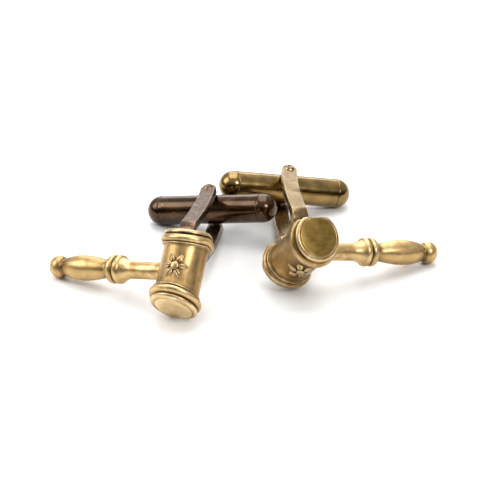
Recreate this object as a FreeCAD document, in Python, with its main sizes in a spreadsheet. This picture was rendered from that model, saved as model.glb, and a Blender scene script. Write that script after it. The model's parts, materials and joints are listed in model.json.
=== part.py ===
import FreeCAD, Part
import math
import os
import Sketcher
from FreeCAD import Matrix, Placement, Rotation, Vector

# A pair of gavel cufflinks, lying loose on a table. Millimetres and degrees, +Z up.
# The origin is on the table under the middle of the pair.
#
# Each cufflink is drawn in its own frame: X runs along the handle to the pommel, Y along the
# barrel of the head, +Z out of the decorated front. The fork, the pin and the bar are drawn
# about the pivot, with X kept, Y along the pin and Z along the fork, away from the head.

SIZES = {
    # Barrel of the head, with a band of two beads and a cap at each end
    "BarrelRadius": 2.8,
    "BarrelLength": 6.7,
    "BandRadius": 3.4,
    "BandStep": 0.12,
    "BeadWidth": 0.52,
    "BeadRise": 0.16,
    "BeadSlope": 0.15,
    "CapGroove": 0.12,
    "CapGrooveRadius": 2.85,
    "CapRadius": 3.0,
    "CapThickness": 0.66,
    "CapEdge": 0.3,
    "DishRadius": 2.35,
    "DishDepth": 0.07,
    "BackFlat": 2.45,
    # Turned handle: places are distances from the barrel's axis, radii are half widths
    "SpigotEnd": 0.6,
    "SpigotRadius": 0.8,
    "HandleSeat": 2.3,
    "RootRadius": 1.12,
    "BellStart": 7.0,
    "BellRadius": 1.6,
    "CollarStart": 8.6,
    "CollarWidth": 0.92,
    "CollarFoot": 1.6,
    "CollarRise": 0.24,
    "CollarSlope": 0.25,
    "GripStart": 10.95,
    "GripStartRadius": 1.12,
    "GripRadius": 1.62,
    "GripTaper": 2.55,
    "GripEndRadius": 1.12,
    "NeckLength": 0.4,
    "NeckDip": 0.1,
    "PommelStartRadius": 1.14,
    "PommelFlare": 0.75,
    "PommelRadius": 1.46,
    "PommelDome": 1.25,
    "HandleLength": 19.75,
    # Rosette on the front of the barrel, turned a little about the barrel away from the handle
    "RosetteRadius": 1.75,
    "RosetteRise": 0.3,
    "RosetteTurn": 15.0,
    "PetalStart": 0.3,
    "PetalWidth": 0.95,
    "ButtonRadius": 0.55,
    # Base plate soldered to the flat back of the head
    "PlateThickness": 0.6,
    "PlateLength": 5.4,
    "PlateWidth": 3.2,
    "PlateCorner": 0.8,
    "PlateMargin": 0.3,
    # Fork: two strip legs on a stem
    "FootX": 2.85,
    "FootY": 3.5,
    "ForkHeight": 15.1,
    "ForkStep": 4.65,
    "ForkLean": 40.0,
    "LegThickness": 1.0,
    "LegWidth": 2.2,
    "TipRadius": 0.98,
    "LegBow": 60.0,
    "CrotchHeight": 2.6,
    "CrotchCorner": 0.8,
    "BridgeThickness": 1.0,
    "StemWidth": 2.0,
    # Bar that swivels between the legs
    "BarRadius": 1.88,
    "BarLength": 18.1,
    "BarGap": 0.17,
    "TubeWall": 0.35,
    "CapDome": 2.05,
    "SeamChamfer": 0.08,
    "PlugLength": 1.2,
    "BarTurn": 8.0,
    # Pivot pin and the leaf spring that clicks on its square middle
    "PinRadius": 0.6,
    "PinFit": 0.05,
    "PinSquare": 0.92,
    "PinSquareLength": 2.6,
    "RivetRadius": 0.72,
    "RivetRise": 0.27,
    "RivetEdge": 0.2,
    "RivetDimple": 0.3,
    "SpringLength": 6.4,
    "SpringWidth": 1.2,
    "SpringThickness": 0.12,
    "SpringGap": 0.04,
    "SpringEndGap": 0.05,
    # Where each cufflink lies on the table, and which way its handle points
    "LeftHeadX": -8.66,
    "LeftHeadY": -3.85,
    "LeftHeading": 149.9,
    "RightHeadX": 6.34,
    "RightHeadY": 1.19,
    "RightHeading": 25.3,
    # How far a cut runs past what it cuts
    "Overrun": 1.0,
    # How closely the resting pose follows the curved faces
    "Fine": 0.01,
}
PETALS = 6
SIDES = ("left", "right")
# Which way is up in each cufflink's own frame, roughly; the resting pose starts from it
FIRST_UP_SHARES = {"left": (-0.2, -0.7, 0.7), "right": (-0.2, 0.7, -0.7)}
SETTLING_STEPS = 60
# How many straight steps draw a turned curve
COVE_STEPS = 2
GRIP_STEPS = 3
DOME_STEPS = 4
# How far a bevel of two steps stays from the corner that it rounds, as a share of its size
CORNER_SHARE = 0.29

DOC = FreeCAD.newDocument("gavel_cufflinks")


class Size:
    """A length, angle or number together with the sheet expression that drives it."""

    def __init__(self, value, text):
        self.value = value
        self.text = text

    def __add__(self, other):
        other = as_size(other)
        return Size(self.value + other.value, "({} + {})".format(self.text, other.text))

    def __sub__(self, other):
        other = as_size(other)
        return Size(self.value - other.value, "({} - {})".format(self.text, other.text))

    def __mul__(self, other):
        other = as_size(other)
        return Size(self.value * other.value, "({} * {})".format(self.text, other.text))

    def __truediv__(self, other):
        other = as_size(other)
        return Size(self.value / other.value, "({} / {})".format(self.text, other.text))

    def __neg__(self):
        return Size(-self.value, "(-1 * {})".format(self.text))


def as_size(item):
    return item if isinstance(item, Size) else Size(float(item), repr(item))


def size(name):
    return Size(SIZES[name], "Sizes." + name)


def root(item):
    return Size(math.sqrt(item.value), "sqrt({})".format(item.text))


def sine(angle):
    return Size(math.sin(math.radians(angle.value)), "sin({})".format(angle.text))


def cosine(angle):
    return Size(math.cos(math.radians(angle.value)), "cos({})".format(angle.text))


def bulge_radius(chord, rise):
    """Radius of the arc that stands this high over its chord."""
    return (chord * chord / 4 + rise * rise) / (rise * 2)


def level_radius(run, drop):
    """Radius of the arc that is level at one end and drops this far over the run."""
    return (run * run + drop * drop) / (drop * 2)


def make_sheet():
    sheet = DOC.addObject("Spreadsheet::Sheet", "Sizes")
    for row, (name, value) in enumerate(SIZES.items(), start=1):
        sheet.set("A{}".format(row), name)
        sheet.set("B{}".format(row), str(value))
        sheet.setAlias("B{}".format(row), name)
    DOC.recompute()


# Sketches

def new_body(name):
    body = DOC.addObject("PartDesign::Body", name)
    body.Label = name
    return body


def origin_feature(body, role):
    return [item for item in body.Origin.OriginFeatures if item.Role == role][0]


def sketch_on(body, role, name, offset=None):
    sketch = body.newObject("Sketcher::SketchObject", body.Name + "_" + name)
    sketch.AttachmentSupport = [(origin_feature(body, role), "")]
    sketch.MapMode = "FlatFace"
    if offset is not None:
        sketch.AttachmentOffset = Placement(Vector(0, 0, offset.value), Rotation())
        sketch.setExpression("AttachmentOffset.Base.z", offset.text)
    return sketch


def arc_between(start, end, radius, turn):
    """The short arc from start to end; turn is 1 counterclockwise, -1 clockwise."""
    across = end - start
    half = across.Length / 2
    reach = math.sqrt(max(radius * radius - half * half, 0))
    left = Vector(-across.y, across.x, 0).normalize()
    centre = (start + end) * 0.5 + left * (reach * turn)
    first, last = (start, end) if turn > 0 else (end, start)
    circle = Part.Circle(centre, Vector(0, 0, 1), radius)
    return Part.ArcOfCircle(circle, circle.parameter(first), circle.parameter(last))


def edges_through(points):
    """Edges joining the points in turn, closed. A point's third item is the arc to it."""
    edges = []
    for start, end in zip(points, points[1:] + points[:1]):
        arc = end[2] if len(end) > 2 else None
        edges.append((start[:2], end[:2], arc))
    return edges


def constrain(sketch, kind, places, item):
    index = sketch.addConstraint(Sketcher.Constraint(kind, *places, item.value))
    sketch.setExpression("Constraints[{}]".format(index), item.text)


def place_point(sketch, edge, end, point):
    across, up = as_size(point[0]), as_size(point[1])
    for item, kind, axis in ((across, "DistanceX", -2), (up, "DistanceY", -1)):
        if item.value == 0:
            sketch.addConstraint(Sketcher.Constraint("PointOnObject", edge, end, axis))
        else:
            constrain(sketch, kind, (-1, 1, edge, end), item)


def draw(sketch, points):
    """Draws one closed outline and ties every corner and arc to the sheet."""
    edges = edges_through(points)
    first_edge = sketch.GeometryCount
    ends = []
    for start, end, arc in edges:
        start_at = Vector(as_size(start[0]).value, as_size(start[1]).value, 0)
        end_at = Vector(as_size(end[0]).value, as_size(end[1]).value, 0)
        if arc is None:
            sketch.addGeometry(Part.LineSegment(start_at, end_at), False)
            ends.append((1, 2))
        else:
            radius, turn = arc
            sketch.addGeometry(arc_between(start_at, end_at, radius.value, turn), False)
            ends.append((1, 2) if turn > 0 else (2, 1))
    for number, (start, end, arc) in enumerate(edges):
        edge = first_edge + number
        following = (number + 1) % len(edges)
        sketch.addConstraint(Sketcher.Constraint(
            "Coincident", edge, ends[number][1], first_edge + following, ends[following][0]))
        place_point(sketch, edge, ends[number][0], start)
        if arc is not None:
            constrain(sketch, "Radius", (edge,), arc[0])


def draw_circle(sketch, radius):
    index = sketch.addGeometry(Part.Circle(Vector(0, 0, 0), Vector(0, 0, 1), radius.value), False)
    sketch.addConstraint(Sketcher.Constraint("Coincident", index, 3, -1, 1))
    constrain(sketch, "Radius", (index,), radius)


def swept(start, end, level_at_end, steps):
    """Points from start to end along a curve that is level at one end, in short straight steps."""
    points = []
    for step in range(1, steps + 1):
        share = step / steps
        climb = 1 - (1 - share) ** 2 if level_at_end else share ** 2
        points.append((start[0] + (end[0] - start[0]) * share,
                       start[1] + (end[1] - start[1]) * climb))
    return points


def dome(start, tip, steps):
    """Points of a dome from its rim to its tip on the axis, in short straight steps."""
    points = []
    for step in range(1, steps):
        angle = as_size(90.0 * step / steps)
        points.append((start[0] + (tip - start[0]) * sine(angle), start[1] * cosine(angle)))
    return points + [(tip, 0)]


def bead(foot, start, width, rise, slope):
    """A raised bead over its foot, as distances from the axis and along it."""
    return [
        (foot + rise, start + slope),
        (foot + rise, start + width - slope),
        (foot, start + width),
    ]


def rectangle(low_x, low_y, high_x, high_y):
    return [(low_x, low_y), (high_x, low_y), (high_x, high_y), (low_x, high_y)]


# Solid features

def feature(kind, body, sketch, name):
    made = body.newObject("PartDesign::" + kind, body.Name + "_" + name)
    made.Profile = sketch
    return made


def pad(body, sketch, name, length, side="Symmetric", backwards=False):
    made = feature("Pad", body, sketch, name)
    made.SideType = side
    made.Reversed = backwards
    made.Length = length.value
    made.setExpression("Length", length.text)
    return made


def pocket(body, sketch, name, length=None, side="Symmetric", backwards=False):
    made = feature("Pocket", body, sketch, name)
    made.SideType = side
    made.Reversed = backwards
    if length is None:
        made.Type = "ThroughAll"
    else:
        made.Length = length.value
        made.setExpression("Length", length.text)
    return made


def revolve(body, sketch, name, axis):
    made = feature("Revolution", body, sketch, name)
    made.ReferenceAxis = (origin_feature(body, axis), [""])
    made.Angle = 360
    return made


# Pieces drawn in the frame of the head

def band_points():
    """Half outline of the head from its middle to the centre of one end."""
    foot = size("BandRadius") - size("BeadRise")
    band_start = size("BarrelLength") / 2 + size("BandStep")
    second = band_start + size("BeadWidth")
    groove = second + size("BeadWidth")
    cap_start = groove + size("CapGroove")
    end = cap_start + size("CapThickness")
    shape = (size("BeadWidth"), size("BeadRise"), size("BeadSlope"))
    return [
        (size("BarrelRadius"), size("BarrelLength") / 2),
        (foot, band_start),
        *bead(foot, band_start, *shape),
        *bead(foot, second, *shape),
        (size("CapGrooveRadius"), groove),
        (size("CapGrooveRadius"), cap_start),
        (size("CapRadius"), cap_start),
        (size("CapRadius"), end - size("CapEdge")),
        (size("CapRadius") - size("CapEdge") * CORNER_SHARE, end - size("CapEdge") * CORNER_SHARE),
        (size("CapRadius") - size("CapEdge"), end),
        (size("DishRadius"), end),
        (size("DishRadius"), end - size("DishDepth")),
        (0, end - size("DishDepth")),
    ]


def make_head(side):
    body = new_body(side + "_gavel_head")
    outline = sketch_on(body, "XY_Plane", "outline")
    half = band_points()
    draw(outline, [(across, -along) for across, along in reversed(half)] + half)
    revolve(body, outline, "turned", "Y_Axis")
    back = sketch_on(body, "XZ_Plane", "back")
    far = size("BandRadius") + size("Overrun")
    draw(back, rectangle(-far, -far, far, -size("BackFlat")))
    pocket(body, back, "flat_back")
    seat = sketch_on(body, "YZ_Plane", "seat", size("HandleSeat"))
    draw_circle(seat, size("RootRadius"))
    pocket(body, seat, "handle_seat", size("BandRadius"), "One side", True)
    socket = sketch_on(body, "YZ_Plane", "socket", size("SpigotEnd"))
    draw_circle(socket, size("SpigotRadius"))
    pocket(body, socket, "handle_socket", size("BandRadius"), "One side", True)
    return body


def make_handle(side):
    body = new_body(side + "_handle")
    outline = sketch_on(body, "XY_Plane", "outline")
    root_end = (size("BellStart"), size("RootRadius"))
    collar_start = (size("CollarStart"), size("BellRadius"))
    second_collar = size("CollarStart") + size("CollarWidth")
    collar_end = (second_collar + size("CollarWidth"), size("CollarFoot"))
    collars = []
    for start in (size("CollarStart"), second_collar):
        collars += bead(size("CollarFoot"), start, size("CollarWidth"), size("CollarRise"),
                        size("CollarSlope"))
    grip_start = (size("GripStart"), size("GripStartRadius"))
    pommel_widest = (size("HandleLength") - size("PommelDome"), size("PommelRadius"))
    pommel_start = (pommel_widest[0] - size("PommelFlare"), size("PommelStartRadius"))
    grip_end = (pommel_start[0] - size("NeckLength"), size("GripEndRadius"))
    grip_widest = (grip_end[0] - size("GripTaper"), size("GripRadius"))
    draw(outline, [
        (size("SpigotEnd"), 0),
        (size("SpigotEnd"), size("SpigotRadius")),
        (size("HandleSeat"), size("SpigotRadius")),
        (size("HandleSeat"), size("RootRadius")),
        root_end,
        *swept(root_end, collar_start, False, COVE_STEPS),
        *[(along, across) for across, along in collars],
        *swept(collar_end, grip_start, True, COVE_STEPS),
        *swept(grip_start, grip_widest, True, GRIP_STEPS),
        *swept(grip_widest, grip_end, False, GRIP_STEPS),
        (grip_end[0] + size("NeckLength") / 2, size("GripEndRadius") - size("NeckDip")),
        pommel_start,
        *swept(pommel_start, pommel_widest, True, COVE_STEPS),
        *dome(pommel_widest, size("HandleLength"), GRIP_STEPS),
    ])
    revolve(body, outline, "turned", "X_Axis")
    return body


def make_rosette(side):
    """Six petals and a button that follow the barrel's round."""
    body = new_body(side + "_rosette")
    button = sketch_on(body, "XY_Plane", "button")
    draw_circle(button, size("ButtonRadius"))
    base = size("BarrelRadius")
    pad(body, button, "button_base", base + size("RosetteRise"), "One side")
    outline = sketch_on(body, "XY_Plane", "petal")
    half = (size("RosetteRadius") - size("PetalStart")) / 2
    edge = (level_radius(half, size("PetalWidth") / 2), 1)
    draw(outline, [
        (size("PetalStart"), 0, edge),
        (size("RosetteRadius"), 0, edge),
    ])
    first = pad(body, outline, "petal_blank", base + size("RosetteRise"), "One side")
    ring = body.newObject("PartDesign::PolarPattern", body.Name + "_petals")
    ring.Originals = [first]
    ring.Axis = (origin_feature(body, "Z_Axis"), [""])
    ring.Angle = 360
    ring.Occurrences = PETALS
    far = size("RosetteRadius") + size("Overrun")
    cuts = (("trim", base + size("RosetteRise"), base * 2), ("barrel_space", as_size(0), base))
    for name, low, high in cuts:
        face = sketch_on(body, "XY_Plane", name)
        draw(face, rectangle(low, -far, high, far))
        cut = feature("Groove", body, face, name + "_cut")
        cut.ReferenceAxis = (origin_feature(body, "Y_Axis"), [""])
        cut.Angle = 360
    return body


def make_base_plate(side):
    body = new_body(side + "_base_plate")
    outline = sketch_on(body, "XY_Plane", "outline", -size("BackFlat"))
    corner = (size("PlateCorner"), 1)
    inset = size("PlateCorner")
    high_x = size("FootX") + size("LegWidth") / 2 + size("PlateMargin")
    low_x = high_x - size("PlateLength")
    low_y = -size("FootY") - size("PlateWidth") / 2
    high_y = -size("FootY") + size("PlateWidth") / 2
    draw(outline, [
        (low_x + inset, low_y, corner),
        (high_x - inset, low_y),
        (high_x, low_y + inset, corner),
        (high_x, high_y - inset),
        (high_x - inset, high_y, corner),
        (low_x + inset, high_y),
        (low_x, high_y - inset, corner),
        (low_x, low_y + inset),
    ])
    pad(body, outline, "plate", size("PlateThickness"), "One side", True)
    return body


# Pieces drawn about the pivot

def crotch_level():
    return size("CrotchHeight") - size("ForkHeight")


def leg_gap():
    """Half the space between the legs."""
    return size("BarRadius") + size("BarGap")


def leg_face():
    """Distance from the middle of the fork to the outer face of a leg."""
    return leg_gap() + size("LegThickness")


def fork_side_outline():
    """The fork seen along the handle: two legs, a bridge and a stem cut to the leaning plate."""
    stem = size("StemWidth") / 2
    climb = stem * sine(size("ForkLean")) / cosine(size("ForkLean"))
    foot = -size("ForkHeight")
    crotch = crotch_level()
    bridge = crotch - size("BridgeThickness")
    inner, outer = leg_gap(), leg_face()
    inner_corner = size("CrotchCorner")
    outer_corner = inner_corner + size("LegThickness")
    top = size("TipRadius") + size("Overrun")
    return [
        (-stem, foot - climb),
        (stem, foot + climb),
        (stem, bridge),
        (outer - outer_corner, bridge),
        (outer, bridge + outer_corner, (outer_corner, 1)),
        (outer, top),
        (inner, top),
        (inner, crotch + inner_corner),
        (inner - inner_corner, crotch, (inner_corner, -1)),
        (inner_corner - inner, crotch),
        (-inner, crotch + inner_corner, (inner_corner, -1)),
        (-inner, top),
        (-outer, top),
        (-outer, bridge + outer_corner),
        (outer_corner - outer, bridge, (outer_corner, 1)),
        (-stem, bridge),
    ]


def strip_outline():
    """The strip seen along the pin: upright at the foot, then bowed over to a round tip."""
    half = size("LegWidth") / 2
    tip = size("TipRadius")
    step, rise = size("ForkStep"), -crotch_level()
    slant = root(step * step + rise * rise)
    across, up = rise / slant * tip, step / slant * tip
    bottom = -size("ForkHeight") - size("StemWidth") - size("Overrun")
    bow = size("LegBow")
    return [
        (-step - half, bottom),
        (half - step, bottom),
        (half - step, crotch_level()),
        (across, -up, (bow, -1)),
        (up, across, (tip, 1)),
        (-across, up, (tip, 1)),
        (-step - half, crotch_level(), (bow, 1)),
    ]


def make_fork(side):
    body = new_body(side + "_fork")
    profile = sketch_on(body, "YZ_Plane", "side")
    draw(profile, fork_side_outline())
    far_x = size("ForkStep") + size("LegWidth") + size("Overrun")
    pad(body, profile, "legs", far_x * 2)
    strip = sketch_on(body, "XZ_Plane", "strip")
    far_z = size("ForkHeight") + size("StemWidth") + size("Overrun") * 2
    draw(strip, rectangle(-far_x - size("Overrun"), -far_z, far_x + size("Overrun"), far_z))
    draw(strip, strip_outline())
    pocket(body, strip, "strip_sides")
    eye = sketch_on(body, "XZ_Plane", "eye")
    draw_circle(eye, size("PinRadius"))
    pocket(body, eye, "pin_eyes")
    return body


def make_pin(side):
    body = new_body(side + "_pivot_pin")
    outline = sketch_on(body, "XY_Plane", "outline")
    face, rim = leg_face(), leg_face() + size("RivetRise")
    half = [
        (size("PinRadius"), face),
        (size("RivetRadius"), face),
        (size("RivetRadius") - size("RivetEdge"), rim),
        (size("RivetDimple"), rim),
        (0, rim - size("RivetDimple") / 2),
    ]
    draw(outline, [(across, -along) for across, along in reversed(half)] + half)
    revolve(body, outline, "turned", "Y_Axis")
    square = sketch_on(body, "XZ_Plane", "square")
    half = size("PinSquare") / 2
    draw_circle(square, size("PinRadius") + size("Overrun"))
    draw(square, rectangle(-half, -half, half, half))
    pocket(body, square, "square_middle", size("PinSquareLength"))
    return body


def make_bar_tube(side):
    body = new_body(side + "_bar_tube")
    outline = sketch_on(body, "XY_Plane", "outline")
    seam = size("BarLength") / 2 - size("CapDome")
    inner, outer = size("BarRadius") - size("TubeWall"), size("BarRadius")
    bevel = size("SeamChamfer")
    draw(outline, [
        (-seam, inner),
        (seam, inner),
        (seam, outer - bevel),
        (seam - bevel, outer),
        (bevel - seam, outer),
        (-seam, outer - bevel),
    ])
    revolve(body, outline, "turned", "X_Axis")
    hole = sketch_on(body, "XZ_Plane", "hole")
    draw_circle(hole, size("PinRadius") + size("PinFit"))
    pocket(body, hole, "pin_hole")
    return body


def make_bar_cap(side, end):
    body = new_body("{}_bar_cap_{}".format(side, end))
    outline = sketch_on(body, "XY_Plane", "outline")
    seam = size("BarLength") / 2 - size("CapDome")
    plug, outer = size("BarRadius") - size("TubeWall"), size("BarRadius")
    bevel = size("SeamChamfer")
    shoulder = size("BarLength") / 2 - outer
    draw(outline, [
        (seam - size("PlugLength"), 0),
        (seam - size("PlugLength"), plug),
        (seam, plug),
        (seam, outer - bevel),
        (seam + bevel, outer),
        (shoulder, outer),
        *dome((shoulder, outer), size("BarLength") / 2, DOME_STEPS),
    ])
    revolve(body, outline, "turned", "X_Axis")
    return body


def make_spring(side):
    body = new_body(side + "_detent_spring")
    outline = sketch_on(body, "XZ_Plane", "outline")
    half = size("SpringLength") / 2
    thick = size("SpringThickness")
    near = size("PinRadius") + size("SpringGap")
    bore = size("BarRadius") - size("TubeWall")
    strip = size("SpringWidth") / 2
    far = root(bore * bore - strip * strip) - size("SpringEndGap") - thick
    bow = bulge_radius(size("SpringLength"), far - near)
    draw(outline, [
        (-half, far),
        (half, far, (bow, 1)),
        (half, far + thick),
        (-half, far + thick, (bow, -1)),
    ])
    pad(body, outline, "leaf", size("SpringWidth"))
    return body


# Placing and writing

def pivot_place():
    """The pivot seen from the middle of the head: up the leaning fork from its foot."""
    lean = Rotation(Vector(1, 0, 0), 180 - SIZES["ForkLean"])
    foot = Vector(SIZES["FootX"], -SIZES["FootY"], -SIZES["BackFlat"] - SIZES["PlateThickness"])
    climb = lean.multVec(Vector(SIZES["ForkStep"], 0, SIZES["ForkHeight"]))
    return Placement(foot + climb, lean)


def rosette_place():
    return Placement(Vector(0, 0, 0), Rotation(Vector(0, 1, 0), -SIZES["RosetteTurn"]))


def bar_place():
    """The bar's frame: the pivot's, turned about the pin to where the bar rests."""
    return pivot_place().multiply(Placement(Vector(0, 0, 0), Rotation(Vector(0, 1, 0), SIZES["BarTurn"])))


def make_cufflink(side):
    """Every piece of one cufflink with its place in the cufflink's own frame."""
    head_frame, pivot, bar = Placement(), pivot_place(), bar_place()
    half_turn = Placement(Vector(0, 0, 0), Rotation(Vector(0, 1, 0), 180))
    return [
        (make_head(side), head_frame),
        (make_handle(side), head_frame),
        (make_rosette(side), rosette_place()),
        (make_base_plate(side), head_frame),
        (make_fork(side), pivot),
        (make_pin(side), pivot),
        (make_bar_tube(side), bar),
        (make_bar_cap(side, "near"), bar),
        (make_bar_cap(side, "far"), bar.multiply(half_turn)),
        (make_spring(side), bar),
    ]


def points_of(piece, place):
    return [place.multVec(point) for point in piece.Shape.tessellate(SIZES["Fine"])[0]]


def lowest(points, up):
    return min(points, key=lambda point: point.dot(up))


def resting_up(side, pieces):
    """Which way is up when head, pommel and the near end of the bar all touch the table."""
    by_name = {piece.Name: points_of(piece, place) for piece, place in pieces}
    feet = [by_name[side + name] for name in ("_gavel_head", "_handle", "_bar_cap_near")]
    up = Vector(*FIRST_UP_SHARES[side]).normalize()
    for _ in range(SETTLING_STEPS):
        head, pommel, bar = [lowest(points, up) for points in feet]
        settled = (pommel - head).cross(bar - head).normalize()
        if settled.dot(up) < 0:
            settled = settled * -1
        up = settled
    return up, -lowest(feet[0], up).dot(up)


def resting_place(side, pieces):
    """The cufflink's frame on the table, before the pair is centred."""
    up, height = resting_up(side, pieces)
    along = Vector(1, 0, 0) - up * up.x
    along.normalize()
    across = up.cross(along)
    own = Matrix(along.x, along.y, along.z, 0, across.x, across.y, across.z, 0,
                 up.x, up.y, up.z, 0, 0, 0, 0, 1)
    name = side.capitalize()
    heading = Rotation(Vector(0, 0, 1), SIZES[name + "Heading"])
    head = Vector(SIZES[name + "HeadX"], SIZES[name + "HeadY"], height)
    return Placement(head, heading).multiply(Placement(own))


def lay_out(cufflinks):
    """Sets every piece down on the table, with the pair centred on the origin."""
    laid = []
    for side, pieces in cufflinks:
        rest = resting_place(side, pieces)
        laid += [(piece, rest.multiply(place)) for piece, place in pieces]
    box = FreeCAD.BoundBox()
    for piece, place in laid:
        for point in points_of(piece, place):
            box.add(point)
    centring = Placement(Vector(-box.Center.x, -box.Center.y, 0), Rotation())
    for piece, place in laid:
        piece.Placement = centring.multiply(place)
    print("lowest point {:.3f} mm, size {:.2f} x {:.2f} x {:.2f} mm".format(
        box.ZMin, box.XLength, box.YLength, box.ZLength))


def check(pieces):
    for item in DOC.Objects:
        if "Invalid" in item.State or "Error" in item.State:
            raise RuntimeError("{} failed: {}".format(item.Name, item.State))
    for piece in pieces:
        if piece.Shape.isNull() or not piece.Shape.isValid() or len(piece.Shape.Solids) != 1:
            raise RuntimeError("{} is not one sound solid".format(piece.Label))


def write(pieces):
    os.makedirs("parts", exist_ok=True)
    for piece in pieces:
        piece.Shape.exportStep(os.path.join("parts", piece.Label + ".step"))


def main():
    make_sheet()
    cufflinks = [(side, make_cufflink(side)) for side in SIDES]
    DOC.recompute()
    pieces = [piece for _, group in cufflinks for piece, _ in group]
    check(pieces)
    lay_out(cufflinks)
    check(pieces)
    write(pieces)


main()
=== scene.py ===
import json
import math

import bmesh
import bpy
import numpy as np
from mathutils import Matrix, Vector


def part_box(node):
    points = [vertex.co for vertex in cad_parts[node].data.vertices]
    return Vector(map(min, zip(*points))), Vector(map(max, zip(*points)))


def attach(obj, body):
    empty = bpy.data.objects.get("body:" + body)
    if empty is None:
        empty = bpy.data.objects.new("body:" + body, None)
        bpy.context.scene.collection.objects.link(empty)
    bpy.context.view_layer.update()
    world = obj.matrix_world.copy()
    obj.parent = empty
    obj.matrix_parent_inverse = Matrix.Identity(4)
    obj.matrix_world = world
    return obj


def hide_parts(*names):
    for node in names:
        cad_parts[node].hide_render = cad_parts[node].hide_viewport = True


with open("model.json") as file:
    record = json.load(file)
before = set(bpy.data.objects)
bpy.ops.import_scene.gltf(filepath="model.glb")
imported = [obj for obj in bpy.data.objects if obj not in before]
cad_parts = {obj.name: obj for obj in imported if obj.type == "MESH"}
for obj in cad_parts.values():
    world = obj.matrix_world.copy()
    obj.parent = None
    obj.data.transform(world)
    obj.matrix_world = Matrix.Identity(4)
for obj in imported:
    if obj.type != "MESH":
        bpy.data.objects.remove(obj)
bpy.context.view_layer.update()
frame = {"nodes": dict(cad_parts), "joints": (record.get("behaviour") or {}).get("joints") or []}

# A pair of gavel cufflinks on a white studio floor. Metres, in the frame of the solids.

MM = 0.001
SIDES = ("left", "right")

# Camera: the photograph's angle, in degrees; lengths in metres, the sensor's width in millimetres
CAMERA_RISE = 29.0
CAMERA_DISTANCE = 0.4925
CAMERA_TARGET = (0.73 * MM, -8.1 * MM, 6.64 * MM)
CLIP_START = 0.01
SENSOR_WIDTH = 36.0
PIXELS_PER_MM = 8.0
FRAME_PIXELS = 500

# Studio: directions, metres and brightness
FLOOR_SIZE = 3.0
FLOOR_GRAIN = 400.0
FLOOR_FLECK = 0.98
TENT_LEAN = (0.0, 0.45, 0.95)
TENT_STOPS = ((0.0, 0.05), (0.12, 0.10), (0.42, 0.75), (0.9, 1.0))
TENT_STRENGTH = 0.75
LAMP_DISTANCE = 0.6
LAMP_TARGET = (0.0, 0.005, 0.004)
# Each lamp's name, the way towards it, its size and its radiance
LAMPS = (
    ("overhead", (0.0, 0.35, 1.0), 0.5, 3.2),
    ("key", (0.47, -0.56, 0.65), 0.15, 18.0),
    ("left_side", (-0.8, 0.0, 0.6), 0.36, 4.0),
    ("behind", (0.0, 0.87, 0.5), 0.36, 2.6),
)

# Meshes: steps, millimetres and degrees
TURN_STEPS = 112
ROUND_STEPS = 12
BEAD_FULLNESS = 0.6
WELD_GAP = 0.0005
SOLID_WELD_GAP = 0.002
SHARP_ANGLE = 35.0
BEVEL_ANGLE = 40.0
BEVEL_SEGMENTS = 3
EDGE_WIDTHS = {"base_plate": 0.1, "fork": 0.14, "pivot_pin": 0.05}

# From here on, sizes are in millimetres and degrees, and outlines are places along and radii.
# How the fork and the rosette stand on the head
FORK_LEAN = 40.0
ROSETTE_TURN = 15.0

# The handle's outline, from the head's middle
HANDLE_LENGTH = 19.75
SPIGOT_START = 2.2
NECK_RADIUS = 1.12
BELL_START = 7.0
COLLAR_START = 8.6
COLLAR_RADIUS = 1.6
COLLAR_WIDTH = 0.92
COLLAR_RISE = 0.24
GRIP_START = (10.95, NECK_RADIUS)
GRIP_WIDEST = (14.8, 1.62)
GRIP_END = (17.35, NECK_RADIUS)
POMMEL_GROOVE = (17.6, 0.92)
POMMEL_START = (17.72, 1.2)
POMMEL_WIDEST = (18.4, 1.43)

# The head's outline, from the barrel's middle; a rounded stretch is its start, corner and end
BARREL_RADIUS = 2.8
BEAD_START = 3.32
BEAD_RADIUS = 3.02
BEAD_WIDTH = 0.26
BEAD_RISE = 0.08
ROLL_START = BEAD_START + BEAD_WIDTH
ROLL_RADIUS = 3.0
ROLL_WIDTH = 0.98
ROLL_RISE = 0.4
CAP_RADIUS = 3.05
BAND_FOOT = ((3.12, BARREL_RADIUS), (3.3, BARREL_RADIUS), (BEAD_START, BEAD_RADIUS))
CAP_GROOVE = ((ROLL_START + ROLL_WIDTH, ROLL_RADIUS), (4.62, 2.86), (4.7, 2.9))
CAP_SHOULDER = ((4.7, 2.9), (4.72, CAP_RADIUS), (4.86, CAP_RADIUS))
CAP_EDGE = ((4.86, CAP_RADIUS), (5.2, CAP_RADIUS), (5.24, 2.66))
DISC_GROOVE = ((5.24, 2.66), (5.24, 2.56), (5.2, 2.53))
DISC_EDGE = ((5.2, 2.52), (5.25, 2.5), (5.26, 2.4))
DISC_FACE = ((5.27, 1.6), (5.29, 0.8), (5.29, 0.2), (5.29, 0.0))

# The flat back, and the slope of the end faces: where along the barrel it starts and is full, and
# each face's slope and the height from which it falls away. The plus end, to which the barrel's
# direction points, falls away from its back edge, so it leans to the front. The minus end falls
# away both ways from its middle, so it has a low ridge.
BACK_FLAT = 2.45
SLOPE_START = 1.6
SLOPE_FULL = 3.2
PLUS_END = (0.20, -BACK_FLAT)
MINUS_END = (0.15, 0.0)

# The rosette
PETALS = 6
PETAL_SPAN = (0.42, 1.75)
PETAL_HALF_WIDTH = 0.46
PETAL_TAPER = 0.75
PETAL_FOOT = 0.35
PETAL_ROWS = 15
PETAL_COLUMNS = 17
RIB_DEPTH = 0.3
RIB_WIDTH = 0.16
ROSETTE_RISE = 0.3
ROSETTE_SINK = 0.04
BUTTON_RADIUS = 0.55
BUTTON_FOOT = 0.45
BUTTON_DOME = 0.6
BUTTON_RINGS = 9
BUTTON_STEPS = 48

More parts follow.
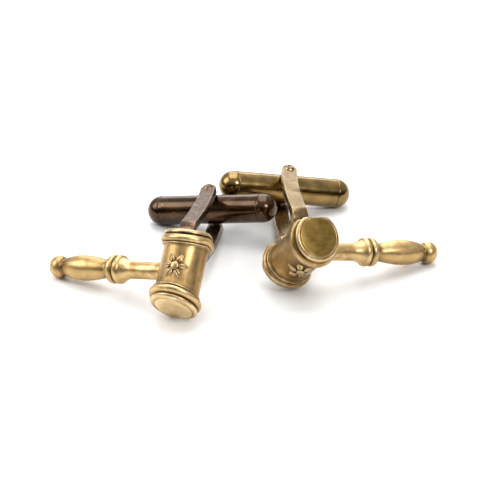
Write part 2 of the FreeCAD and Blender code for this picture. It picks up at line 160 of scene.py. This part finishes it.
# The bar, from its pivot
BAR_RADIUS = 1.88
BAR_HALF = 9.05
CAP_SEAM = 7.0
SEAM_BEVEL = 0.08
PLUG_RADIUS = 1.53
PLUG_START = 5.8

# Colours, as linear red, green and blue
BRASS_LIGHT = (0.90, 0.72, 0.44)
BRASS_MID = (0.67, 0.455, 0.195)
BRASS_BROWN = (0.25, 0.135, 0.042)
BRASS_DARK = (0.105, 0.055, 0.017)
ROSETTE_LIGHT = (0.78, 0.60, 0.33)
# Middle tone of each head's brass; the right head's is far darker, painted shade for the shadowed
# floor that its barrel reflects
HEAD_MID_WITH_PAINTED_SHADE = {"left": (0.69, 0.465, 0.195), "right": (0.38, 0.225, 0.066)}
STEEL_LIGHT = (0.55, 0.55, 0.56)
STEEL_DARK = (0.40, 0.40, 0.41)
FLOOR_WHITE = (0.93, 0.93, 0.925)
# Low and high tone of the end discs; the right head's dark olive is painted reflection of dark
# surroundings, the left's is plain brass
DISC_TONES_WITH_PAINTED_REFLECTION = {
    "left": ((0.68, 0.49, 0.24), (0.88, 0.69, 0.40)),
    "right": ((0.21, 0.125, 0.025), (0.33, 0.21, 0.055)),
}
# Base, deep and worn tone of the bars and of the forks
BAR_BRONZE = {
    "left": ((0.086, 0.048, 0.025), (0.044, 0.024, 0.012), (0.34, 0.22, 0.13)),
    "right": ((0.290, 0.188, 0.062), (0.175, 0.108, 0.034), (0.55, 0.42, 0.23)),
}
FORK_BRONZE = {
    "left": ((0.135, 0.082, 0.054), (0.042, 0.023, 0.014), (0.40, 0.285, 0.20)),
    "right": ((0.190, 0.122, 0.048), (0.050, 0.029, 0.011), (0.50, 0.37, 0.20)),
}

# Surfaces: how the grain is stretched along each piece's own axes, and the range of roughness
HEAD_GRAIN = (1.0, 0.10, 1.0)
HANDLE_GRAIN = (0.12, 1.0, 1.0)
ROSETTE_GRAIN = (1.0, 0.3, 1.0)
DISC_GRAIN = (0.18, 1.0, 1.3)
BAR_GRAIN = (0.25, 1.0, 1.0)
FORK_GRAIN = (1.0, 0.35, 0.35)
SPRING_GRAIN = (0.2, 1.0, 1.0)
BRASS_ROUGHNESS = (0.32, 0.46)
DISC_ROUGHNESS = (0.31, 0.38)
BAR_ROUGHNESS = (0.17, 0.26)
FORK_ROUGHNESS = (0.22, 0.34)
SPRING_ROUGHNESS = (0.22, 0.38)
FLOOR_ROUGHNESS = (0.55, 0.60)

# The dark patch round each rosette, partly a stain and partly painted shade, the shade far deeper
# on the right head: where it ends, and how much of the brass shows in it
PATCH_REACH = (1.7, 3.5)
STAIN_AND_SHADE_SHARE = {"left": 0.6, "right": 0.22}

# Socket numbers of Blender's Mix node for colours
MIX_FIRST = 6
MIX_SECOND = 7
MIX_RESULT = 2


# Frames of the two cufflinks, read from their solids

def points_of(node):
    return np.array([vertex.co[:] for vertex in frame["nodes"][node].data.vertices])


def long_axis(node):
    """The direction in which a solid's points spread most."""
    points = points_of(node)
    _, vectors = np.linalg.eigh(np.cov((points - points.mean(axis=0)).T))
    return Vector(vectors[:, 2])


def middle_of(node):
    low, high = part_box(node)
    return (Vector(low) + Vector(high)) / 2


def joint_of(side):
    return next(joint for joint in frame["joints"] if joint["name"] == side + "_bar_swivel")


def head_frame(side):
    """Directions of the handle, the barrel and the front as columns, and the head's middle."""
    handle = long_axis(side + "_handle")
    if handle.dot(middle_of(side + "_handle") - middle_of(side + "_gavel_head")) < 0:
        handle = -handle
    tip = max((Vector(point) for point in points_of(side + "_handle")), key=handle.dot)
    pin = Vector(joint_of(side)["axis"]).normalized()
    climb = handle.cross(pin)
    turn = math.radians(180 - FORK_LEAN)
    barrel = pin * math.cos(turn) - climb * math.sin(turn)
    front = pin * math.sin(turn) + climb * math.cos(turn)
    return Matrix((handle, barrel, front)).transposed(), tip - handle * HANDLE_LENGTH * MM


def bar_frame(side, end):
    """Columns are the way out through this end, the pin and their cross; then the pivot."""
    along = long_axis(side + "_bar_tube")
    pivot = Vector(joint_of(side)["pos_m"])
    if along.dot(middle_of("{}_bar_cap_{}".format(side, end)) - pivot) < 0:
        along = -along
    pin = Vector(joint_of(side)["axis"]).normalized()
    return Matrix((along, pin, along.cross(pin))).transposed(), pivot


# Outlines of the turned pieces

def swept(start, end, level_at_end, steps=ROUND_STEPS):
    """A swelling line that runs level at its end, or else at its start."""
    points = []
    for step in range(1, steps + 1):
        share = step / steps
        climb = 1 - (1 - share) ** 2 if level_at_end else share ** 2
        points.append((start[0] + (end[0] - start[0]) * share,
                       start[1] + (end[1] - start[1]) * climb))
    return points


def dome(start, tip, steps=ROUND_STEPS):
    """A quarter of an oval, from a radius down to the tip."""
    angles = [math.radians(90 * step / steps) for step in range(1, steps + 1)]
    return [(start[0] + (tip - start[0]) * math.sin(angle), start[1] * math.cos(angle))
            for angle in angles]


def bead(start, radius, width, rise, steps=ROUND_STEPS):
    """A full round bead that stands on this radius."""
    shares = [step / steps for step in range(1, steps)]
    points = [(start + width * share, radius + rise * math.sin(math.pi * share) ** BEAD_FULLNESS)
              for share in shares]
    return points + [(start + width, radius)]


def rounded(start, corner, end, steps):
    """Points from start to end round the inside of a corner."""
    points = []
    for step in range(1, steps + 1):
        share = step / steps
        weights = ((1 - share) ** 2, 2 * share * (1 - share), share ** 2)
        places = tuple(zip(weights, (start, corner, end)))
        points.append(tuple(sum(weight * place[axis] for weight, place in places)
                            for axis in (0, 1)))
    return points


def handle_profile():
    """From inside the head to the pommel's tip."""
    bell_start = (BELL_START, NECK_RADIUS)
    second_collar = COLLAR_START + COLLAR_WIDTH
    collar_end = (second_collar + COLLAR_WIDTH, COLLAR_RADIUS)
    return [
        (SPIGOT_START, 0.0),
        (SPIGOT_START, NECK_RADIUS),
        bell_start,
        *swept(bell_start, (COLLAR_START, COLLAR_RADIUS), level_at_end=False),
        *bead(COLLAR_START, COLLAR_RADIUS, COLLAR_WIDTH, COLLAR_RISE),
        *bead(second_collar, COLLAR_RADIUS, COLLAR_WIDTH, COLLAR_RISE),
        *swept(collar_end, GRIP_START, level_at_end=True, steps=6),
        *swept(GRIP_START, GRIP_WIDEST, level_at_end=True),
        *swept(GRIP_WIDEST, GRIP_END, level_at_end=False),
        *rounded(GRIP_END, POMMEL_GROOVE, POMMEL_START, steps=6),
        *swept(POMMEL_START, POMMEL_WIDEST, level_at_end=True),
        *dome(POMMEL_WIDEST, HANDLE_LENGTH),
    ]


def head_profile():
    """One half, from the barrel's plain part to the middle of its end face."""
    return [
        BAND_FOOT[0],
        *rounded(*BAND_FOOT, steps=4),
        *bead(BEAD_START, BEAD_RADIUS, BEAD_WIDTH, BEAD_RISE),
        *bead(ROLL_START, ROLL_RADIUS, ROLL_WIDTH, ROLL_RISE, steps=16),
        *rounded(*CAP_GROOVE, steps=4),
        *rounded(*CAP_SHOULDER, steps=4),
        *rounded(*CAP_EDGE, steps=10),
        *rounded(*DISC_GROOVE, steps=4),
        *rounded(*DISC_EDGE, steps=4),
        *DISC_FACE,
    ]


def cap_profile():
    """From inside the bar's tube to the tip of its end."""
    shoulder = (BAR_HALF - BAR_RADIUS, BAR_RADIUS)
    seam_low = (CAP_SEAM, BAR_RADIUS - SEAM_BEVEL)
    seam_top = (CAP_SEAM + SEAM_BEVEL, BAR_RADIUS)
    return [
        (PLUG_START, 0.0),
        (PLUG_START, PLUG_RADIUS),
        (CAP_SEAM, PLUG_RADIUS),
        seam_low,
        *rounded(seam_low, (CAP_SEAM, BAR_RADIUS), seam_top, steps=4),
        shoulder,
        *dome(shoulder, BAR_HALF, steps=20),
    ]


# Meshes of the finer pieces

def ring_faces(rings, steps, closed=True):
    """Faces between rings of points, which close round unless told otherwise."""
    faces = []
    for ring in range(rings - 1):
        low, high = ring * steps, (ring + 1) * steps
        for step in range(steps if closed else steps - 1):
            following = (step + 1) % steps
            faces.append((low + step, low + following, high + following, high + step))
    return faces


def tidy_mesh(mesh):
    """Joins doubled points, drops empty faces, turns the normals out and shades smoothly."""
    work = bmesh.new()
    work.from_mesh(mesh)
    bmesh.ops.remove_doubles(work, verts=work.verts, dist=WELD_GAP * MM)
    bmesh.ops.dissolve_degenerate(work, edges=work.edges, dist=WELD_GAP * MM)
    bmesh.ops.recalc_face_normals(work, faces=work.faces)
    work.to_mesh(mesh)
    work.free()
    mesh.shade_smooth()
    mesh.set_sharp_from_angle(angle=math.radians(SHARP_ANGLE))


def made_piece(name, corners, faces, marked=()):
    """One object from its corners and faces; the marked faces take the second material."""
    mesh = bpy.data.meshes.new(name)
    mesh.from_pydata(corners, [], faces)
    for number in marked:
        mesh.polygons[number].material_index = 1
    tidy_mesh(mesh)
    made = bpy.data.objects.new(name, mesh)
    bpy.context.collection.objects.link(made)
    return made


def turned(name, profile, place):
    """A smooth piece of revolution about the first column of its frame."""
    columns, origin = place
    corners = []
    for along, radius in profile:
        for step in range(TURN_STEPS):
            angle = 2 * math.pi * step / TURN_STEPS
            spot = Vector((along, radius * math.cos(angle), radius * math.sin(angle)))
            corners.append(origin + columns @ spot * MM)
    return made_piece(name, corners, ring_faces(len(profile), TURN_STEPS))


def sloped(along, front):
    """The place along the barrel once the end face there falls away from its highest line."""
    share = min(max((abs(along) - SLOPE_START) / (SLOPE_FULL - SLOPE_START), 0.0), 1.0)
    slope, highest = PLUS_END if along > 0 else MINUS_END
    return along - math.copysign(slope * abs(front - highest) * share, along)


def turned_head(name, place):
    """The barrel with its bands, flat at the back, with sloping ends and flush end discs."""
    columns, origin = place
    half = head_profile()
    profile = [(-along, radius) for along, radius in reversed(half)] + half
    corners = []
    for along, radius in profile:
        for step in range(TURN_STEPS):
            angle = 2 * math.pi * step / TURN_STEPS
            side = radius * math.cos(angle)
            front = max(radius * math.sin(angle), -BACK_FLAT)
            corners.append(origin + columns @ Vector((side, sloped(along, front), front)) * MM)
    faces = ring_faces(len(profile), TURN_STEPS)
    disc = len(DISC_FACE) * TURN_STEPS
    marked = [*range(disc), *range(len(faces) - disc, len(faces))]
    return made_piece(name, corners, faces, marked)


def on_barrel(place, across, along, rise):
    """A point over the barrel's round, counted from the rosette's middle."""
    columns, origin = place
    radius = BARREL_RADIUS + rise
    lift = math.sqrt(radius ** 2 - across ** 2)
    turn = math.radians(ROSETTE_TURN)
    side = across * math.cos(turn) - lift * math.sin(turn)
    front = across * math.sin(turn) + lift * math.cos(turn)
    return origin + columns @ Vector((side, along, front)) * MM


def petal_points(place, turn):
    """Rows of points outwards: a crowned petal with a sunk rib, fullest a third of the way out."""
    points = []
    for row in range(PETAL_ROWS):
        share = row / (PETAL_ROWS - 1)
        out = PETAL_SPAN[0] + (PETAL_SPAN[1] - PETAL_SPAN[0]) * share
        half = PETAL_HALF_WIDTH * math.sin(math.pi * share) ** PETAL_TAPER
        swell = math.sin(math.pi * min(share * 1.15, 1) ** 0.8)
        height = ROSETTE_RISE * (PETAL_FOOT + (1 - PETAL_FOOT) * swell)
        for column in range(PETAL_COLUMNS):
            across = 2 * column / (PETAL_COLUMNS - 1) - 1
            rib = RIB_DEPTH * math.exp(-(across / RIB_WIDTH) ** 2)
            rise = height * (1 - across ** 4) * (1 - rib) - ROSETTE_SINK
            aside = across * half
            points.append(on_barrel(place, out * math.cos(turn) - aside * math.sin(turn),
                                    out * math.sin(turn) + aside * math.cos(turn), rise))
    return points


def button_points(place):
    """Rings of points from the button's sunk edge up to its top."""
    points = []
    for ring in range(BUTTON_RINGS):
        angle = math.radians(90 * ring / (BUTTON_RINGS - 1))
        out = BUTTON_RADIUS * math.cos(angle)
        rise = ROSETTE_RISE * (BUTTON_FOOT + BUTTON_DOME * math.sin(angle))
        if ring == 0:
            rise = -ROSETTE_SINK
        for step in range(BUTTON_STEPS):
            turn = 2 * math.pi * step / BUTTON_STEPS
            points.append(on_barrel(place, out * math.cos(turn), out * math.sin(turn), rise))
    return points


def carved_rosette(name, place):
    """Six ribbed petals round a domed button, bent to the barrel's round."""
    corners, faces = [], []
    petal = ring_faces(PETAL_ROWS, PETAL_COLUMNS, closed=False)
    for number in range(PETALS):
        first = len(corners)
        corners += petal_points(place, math.radians(360 * number / PETALS))
        faces += [tuple(first + corner for corner in face) for face in petal]
    first = len(corners)
    corners += button_points(place)
    button = ring_faces(BUTTON_RINGS, BUTTON_STEPS)
    faces += [tuple(first + corner for corner in face) for face in button]
    return made_piece(name, corners, faces)


def stand_in(made, node, body):
    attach(made, body)
    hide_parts(node)


# Small helpers for shader nodes

class Shader:
    """One material's node tree with a finished Principled shader to feed."""

    def __init__(self, name):
        self.material = bpy.data.materials.new(name)
        self.material.use_nodes = True
        self.tree = self.material.node_tree
        self.bsdf = self.tree.nodes["Principled BSDF"]

    def node(self, kind, **settings):
        made = self.tree.nodes.new("ShaderNode" + kind)
        for name, value in settings.items():
            setattr(made, name, value)
        return made

    def feed(self, node, inputs):
        """Links the sockets among the inputs and sets the plain values."""
        for name, value in inputs.items():
            if isinstance(value, bpy.types.NodeSocket):
                self.tree.links.new(value, node.inputs[name])
            else:
                node.inputs[name].default_value = value

    def local(self, place):
        """Coordinates in millimetres along a cufflink's own axes."""
        columns, origin = place
        rows = columns.transposed()
        own = self.node("Mapping", vector_type="POINT")
        self.feed(own, {"Vector": self.node("TexCoord").outputs["Object"],
                        "Rotation": rows.to_euler("XYZ")[:], "Location": (-(rows @ origin))[:]})
        scale = self.node("VectorMath", operation="SCALE")
        self.feed(scale, {0: own.outputs["Vector"], "Scale": 1 / MM})
        return scale.outputs["Vector"]

    def stretched(self, place, factors):
        made = self.node("VectorMath", operation="MULTIPLY")
        self.feed(made, {0: place, 1: factors})
        return made.outputs["Vector"]

    def noise(self, place, scale, detail=4.0, roughness=0.55, distortion=0.0):
        made = self.node("TexNoise")
        self.feed(made, {"Vector": place, "Scale": scale, "Detail": detail,
                         "Roughness": roughness, "Distortion": distortion})
        return made.outputs["Fac"]

    def ramp(self, value, low, high, out_low=0.0, out_high=1.0):
        """A smooth step from out_low to out_high while the value goes from low to high."""
        made = self.node("MapRange", interpolation_type="SMOOTHSTEP")
        self.feed(made, {"Value": value, "From Min": low, "From Max": high,
                         "To Min": out_low, "To Max": out_high})
        return made.outputs["Result"]

    def math(self, operation, first, second):
        made = self.node("Math", operation=operation)
        self.feed(made, {0: first, 1: second})
        return made.outputs["Value"]

    def plus(self, first, second, share=1.0):
        """The first value and this share of the second."""
        if share != 1.0:
            second = self.math("MULTIPLY", second, share)
        return self.math("ADD", first, second)

    def mix(self, share, first, second):
        made = self.node("Mix", data_type="RGBA")
        first, second = [(*item, 1.0) if isinstance(item, tuple) else item
                         for item in (first, second)]
        self.feed(made, {0: share, MIX_FIRST: first, MIX_SECOND: second})
        return made.outputs[MIX_RESULT]

    def openness(self, reach, inside=False):
        """1 on open faces, and less in grooves or, seen from inside, near proud edges."""
        made = self.node("AmbientOcclusion", samples=8, only_local=True, inside=inside)
        made.inputs["Distance"].default_value = reach * MM
        return made.outputs["AO"]

    def proud(self, reach):
        """1 near proud edges and 0 on flat faces."""
        return self.ramp(self.openness(reach, inside=True), 0.55, 0.95, 1.0, 0.0)

    def bump(self, height, depth, strength):
        made = self.node("Bump")
        self.feed(made, {"Height": height, "Distance": depth * MM, "Strength": strength})
        self.tree.links.new(made.outputs["Normal"], self.bsdf.inputs["Normal"])

    def finish(self, colour, rough, **settings):
        inputs = {"Base Color": colour, "Roughness": rough}
        inputs.update({name.replace("_", " "): value for name, value in settings.items()})
        self.feed(self.bsdf, inputs)
        return self.material


# Materials

def antique_brass(name, place, grain, light=BRASS_LIGHT, mid=BRASS_MID, stain_and_shade=None):
    """Cast brass, darkened in the hollows and rubbed pale where it stands proud."""
    shader = Shader(name)
    own = shader.local(place)
    grained = shader.stretched(own, grain)
    lines = shader.noise(grained, scale=5.0, roughness=0.6)
    fine = shader.noise(grained, scale=16.0, detail=2.0, roughness=0.6)
    cloud = shader.noise(own, scale=0.42, detail=3.0)
    rubbed = shader.plus(cloud, shader.proud(0.5), share=0.8)
    tone = shader.mix(shader.ramp(rubbed, 0.45, 1.1), mid, light)
    blotch = shader.noise(own, scale=0.5, detail=5.0, roughness=0.6, distortion=0.6)
    tone = shader.mix(shader.ramp(blotch, 0.48, 0.72, 0.0, 0.6), tone, BRASS_BROWN)
    open_air = shader.plus(shader.openness(1.9), cloud, share=0.45)
    open_air = shader.plus(open_air, lines, share=0.25)
    clean = shader.ramp(open_air, 0.95, 1.50)
    # Round the rosette a ragged dark patch, partly a stain and partly painted shade
    if stain_and_shade is not None:
        clean = shader.math("MULTIPLY", clean, round_rosette(shader, own, cloud, stain_and_shade))
    colour = shader.mix(clean, BRASS_DARK, tone)
    rough = shader.ramp(lines, 0.3, 0.75, *BRASS_ROUGHNESS)
    shader.bump(shader.plus(lines, fine, share=0.5), depth=0.012, strength=0.7)
    return shader.finish(colour, rough, Metallic=1.0)


def round_rosette(shader, own, cloud, least):
    """Less than 1 in a ragged patch of the barrel round the rosette, darkened by a stain and by
    painted shade.
    """
    turn = math.radians(ROSETTE_TURN)
    middle = (-BARREL_RADIUS * math.sin(turn), 0.0, BARREL_RADIUS * math.cos(turn))
    gap = shader.node("VectorMath", operation="DISTANCE")
    shader.feed(gap, {0: own, 1: middle})
    ragged = shader.plus(gap.outputs["Value"], cloud)
    return shader.ramp(ragged, *PATCH_REACH, least, 1.0)


def end_brass(name, place, tones):
    """The two end discs: brushed one way, clouded, with a few dark spots."""
    # On the right head these tones are darkened as painted reflection
    low, high = tones
    shader = Shader(name)
    own = shader.local(place)
    lines = shader.noise(shader.stretched(own, DISC_GRAIN), scale=4.5, detail=2.0, roughness=0.5)
    cloud = shader.noise(own, scale=0.5, detail=2.0)
    spots = shader.noise(own, scale=0.95, detail=1.0)
    tone = shader.mix(shader.ramp(cloud, 0.35, 0.68), low, high)
    tone = shader.mix(shader.ramp(lines, 0.35, 0.85, 0.0, 0.08), tone, BRASS_LIGHT)
    rubbed = shader.math("MULTIPLY", shader.proud(0.2), 0.8)
    tone = shader.mix(rubbed, tone, BRASS_LIGHT)
    colour = shader.mix(shader.ramp(spots, 0.66, 0.80, 0.0, 0.6), tone, BRASS_DARK)
    rough = shader.ramp(lines, 0.3, 0.75, *DISC_ROUGHNESS)
    shader.bump(lines, depth=0.005, strength=0.3)
    return shader.finish(colour, rough, Metallic=1.0)


def lacquered_bronze(name, place, tones):
    """Glossy dark bronze with fine scratches and pale specks."""
    base, deep, worn = tones
    shader = Shader(name)
    own = shader.local(place)
    scratch = shader.noise(shader.stretched(own, BAR_GRAIN), scale=5.0, detail=7.0,
                           roughness=0.7, distortion=0.8)
    cloud = shader.noise(own, scale=0.4)
    speck = shader.noise(own, scale=4.2, detail=2.0, roughness=0.5)
    colour = shader.mix(shader.ramp(cloud, 0.35, 0.65), deep, base)
    marks = shader.math("MAXIMUM", shader.ramp(scratch, 0.64, 0.72, 0.0, 0.7),
                        shader.ramp(speck, 0.69, 0.73, 0.0, 0.8))
    rubbed = shader.math("MULTIPLY", shader.proud(0.1), 0.6)
    colour = shader.mix(shader.math("MAXIMUM", marks, rubbed), colour, worn)
    rough = shader.ramp(cloud, 0.3, 0.7, *BAR_ROUGHNESS)
    shader.bump(scratch, depth=0.006, strength=0.35)
    return shader.finish(colour, rough, Metallic=1.0, Coat_Weight=0.25, Coat_Roughness=0.06)


def worn_bronze(name, place, tones):
    """The fork's bronze: pale where it is rubbed and on its edges, dark in the hollows."""
    base, deep, worn = tones
    shader = Shader(name)
    own = shader.local(place)
    scratch = shader.noise(shader.stretched(own, FORK_GRAIN), scale=4.0, detail=6.0,
                           roughness=0.65)
    cloud = shader.noise(own, scale=0.7, detail=3.0, roughness=0.6)
    rubbed = shader.plus(cloud, scratch, share=0.3)
    colour = shader.mix(shader.ramp(rubbed, 0.55, 0.95, 0.0, 0.45), base, worn)
    colour = shader.mix(shader.proud(0.22), colour, worn)
    speck = shader.noise(own, scale=3.4, detail=3.0)
    colour = shader.mix(shader.ramp(speck, 0.62, 0.70, 0.0, 0.8), colour, deep)
    colour = shader.mix(shader.ramp(shader.openness(1.4), 0.45, 0.95), deep, colour)
    rough = shader.ramp(scratch, 0.3, 0.7, *FORK_ROUGHNESS)
    shader.bump(scratch, depth=0.007, strength=0.4)
    return shader.finish(colour, rough, Metallic=1.0)


def spring_steel(name, place):
    """Bright steel with fine lines along the spring."""
    shader = Shader(name)
    lines = shader.noise(shader.stretched(shader.local(place), SPRING_GRAIN), scale=8.0)
    colour = shader.mix(shader.ramp(lines, 0.3, 0.7), STEEL_DARK, STEEL_LIGHT)
    rough = shader.ramp(lines, 0.3, 0.7, *SPRING_ROUGHNESS)
    shader.bump(lines, depth=0.004, strength=0.4)
    return shader.finish(colour, rough, Metallic=1.0)


def studio_paper(name):
    """Plain white paper with a very fine grain."""
    shader = Shader(name)
    grain = shader.noise(shader.node("TexCoord").outputs["Object"], scale=FLOOR_GRAIN)
    fleck = tuple(FLOOR_FLECK * share for share in FLOOR_WHITE)
    colour = shader.mix(shader.ramp(grain, 0.3, 0.7), fleck, FLOOR_WHITE)
    return shader.finish(colour, shader.ramp(grain, 0.3, 0.7, *FLOOR_ROUGHNESS))


def paint(piece, *materials):
    """Gives a piece its materials; each face keeps its choice where there are two."""
    indices = [face.material_index for face in piece.data.polygons]
    piece.data.materials.clear()
    for material in materials:
        piece.data.materials.append(material)
    if len(materials) > 1:
        piece.data.polygons.foreach_set("material_index", indices)


def soften_edges(piece, width):
    """Joins the solid's split corners and rounds its sharp edges a little."""
    weld = piece.modifiers.new("weld", "WELD")
    weld.merge_threshold = SOLID_WELD_GAP * MM
    bevel = piece.modifiers.new("bevel", "BEVEL")
    bevel.width = width * MM
    bevel.segments = BEVEL_SEGMENTS
    bevel.limit_method = "ANGLE"
    bevel.angle_limit = math.radians(BEVEL_ANGLE)
    bevel.harden_normals = True


# The two cufflinks

def dress_gavel(side):
    """The head, handle, rosette, base plate, fork and pin of one cufflink."""
    own = head_frame(side)
    body = side + "_gavel"

    head = turned_head(side + "_gavel_head_turned", own)
    stand_in(head, side + "_gavel_head", body)
    # The right head's brass is darkened with painted shade
    paint(head,
          antique_brass(side + "_head_brass", own, HEAD_GRAIN, mid=HEAD_MID_WITH_PAINTED_SHADE[side],
                        stain_and_shade=STAIN_AND_SHADE_SHARE[side]),
          end_brass(side + "_disc_brass", own, DISC_TONES_WITH_PAINTED_REFLECTION[side]))

    handle = turned(side + "_handle_turned", handle_profile(), own)
    stand_in(handle, side + "_handle", body)
    paint(handle, antique_brass(side + "_handle_brass", own, HANDLE_GRAIN))

    rosette = carved_rosette(side + "_rosette_carved", own)
    stand_in(rosette, side + "_rosette", body)
    paint(rosette, antique_brass(side + "_rosette_brass", own, ROSETTE_GRAIN, ROSETTE_LIGHT))

    bronze = worn_bronze(side + "_fork_bronze", own, FORK_BRONZE[side])
    for piece, width in EDGE_WIDTHS.items():
        node = frame["nodes"]["{}_{}".format(side, piece)]
        paint(node, bronze)
        soften_edges(node, width)


def dress_bar(side):
    """The tube, caps and spring of one cufflink."""
    near = bar_frame(side, "near")
    lacquer = lacquered_bronze(side + "_bar_bronze", near, BAR_BRONZE[side])
    for end in ("near", "far"):
        node = "{}_bar_cap_{}".format(side, end)
        cap = turned(node + "_turned", cap_profile(), bar_frame(side, end))
        stand_in(cap, node, side + "_bar")
        paint(cap, lacquer)
    paint(frame["nodes"][side + "_bar_tube"], lacquer)
    paint(frame["nodes"][side + "_detent_spring"], spring_steel(side + "_spring_steel", near))


# Studio

def make_floor():
    bpy.ops.mesh.primitive_plane_add(size=FLOOR_SIZE, location=(0, 0, 0))
    floor = bpy.context.object
    floor.name = "studio_floor"
    paint(floor, studio_paper("studio_floor_paper"))


def make_world():
    """A white tent: bright above and behind, dark low down in front."""
    world = bpy.data.worlds.new("studio")
    bpy.context.scene.world = world
    world.use_nodes = True
    nodes, links = world.node_tree.nodes, world.node_tree.links
    place = nodes.new("ShaderNodeTexCoord")
    lean = nodes.new("ShaderNodeVectorMath")
    lean.operation = "DOT_PRODUCT"
    lean.inputs[1].default_value = TENT_LEAN
    ramp = nodes.new("ShaderNodeValToRGB")
    links.new(place.outputs["Generated"], lean.inputs[0])
    links.new(lean.outputs["Value"], ramp.inputs["Fac"])
    links.new(ramp.outputs["Color"], nodes["Background"].inputs["Color"])
    elements = ramp.color_ramp.elements
    elements[0].position = TENT_STOPS[0][0]
    elements[1].position = TENT_STOPS[-1][0]
    for position, _ in TENT_STOPS[1:-1]:
        elements.new(position)
    for element, (_, level) in zip(elements, TENT_STOPS):
        element.color = (level, level, level, 1.0)
    nodes["Background"].inputs["Strength"].default_value = TENT_STRENGTH


def softbox(name, way, size, radiance):
    """A square lamp of this brightness, seen from the object along this direction."""
    light = bpy.data.lights.new(name, "AREA")
    light.shape = "SQUARE"
    light.size = size
    light.energy = radiance * math.pi * size * size
    holder = bpy.data.objects.new(name, light)
    target = Vector(LAMP_TARGET)
    holder.location = target + Vector(way).normalized() * LAMP_DISTANCE
    holder.rotation_euler = (target - holder.location).to_track_quat("-Z", "Y").to_euler()
    bpy.context.collection.objects.link(holder)


def make_camera():
    rise = math.radians(CAMERA_RISE)
    data = bpy.data.cameras.new("photo_camera")
    data.sensor_width = SENSOR_WIDTH
    data.lens = CAMERA_DISTANCE / MM * PIXELS_PER_MM / FRAME_PIXELS * SENSOR_WIDTH
    data.clip_start = CLIP_START
    camera = bpy.data.objects.new("photo_camera", data)
    target = Vector(CAMERA_TARGET)
    camera.location = target + CAMERA_DISTANCE * Vector((0, -math.cos(rise), math.sin(rise)))
    camera.rotation_euler = (target - camera.location).to_track_quat("-Z", "Y").to_euler()
    bpy.context.collection.objects.link(camera)
    bpy.context.scene.camera = camera


for cufflink in SIDES:
    dress_gavel(cufflink)
    dress_bar(cufflink)
make_floor()
make_world()
for lamp in LAMPS:
    softbox(*lamp)
make_camera()
bpy.context.scene.view_settings.view_transform = "Standard"
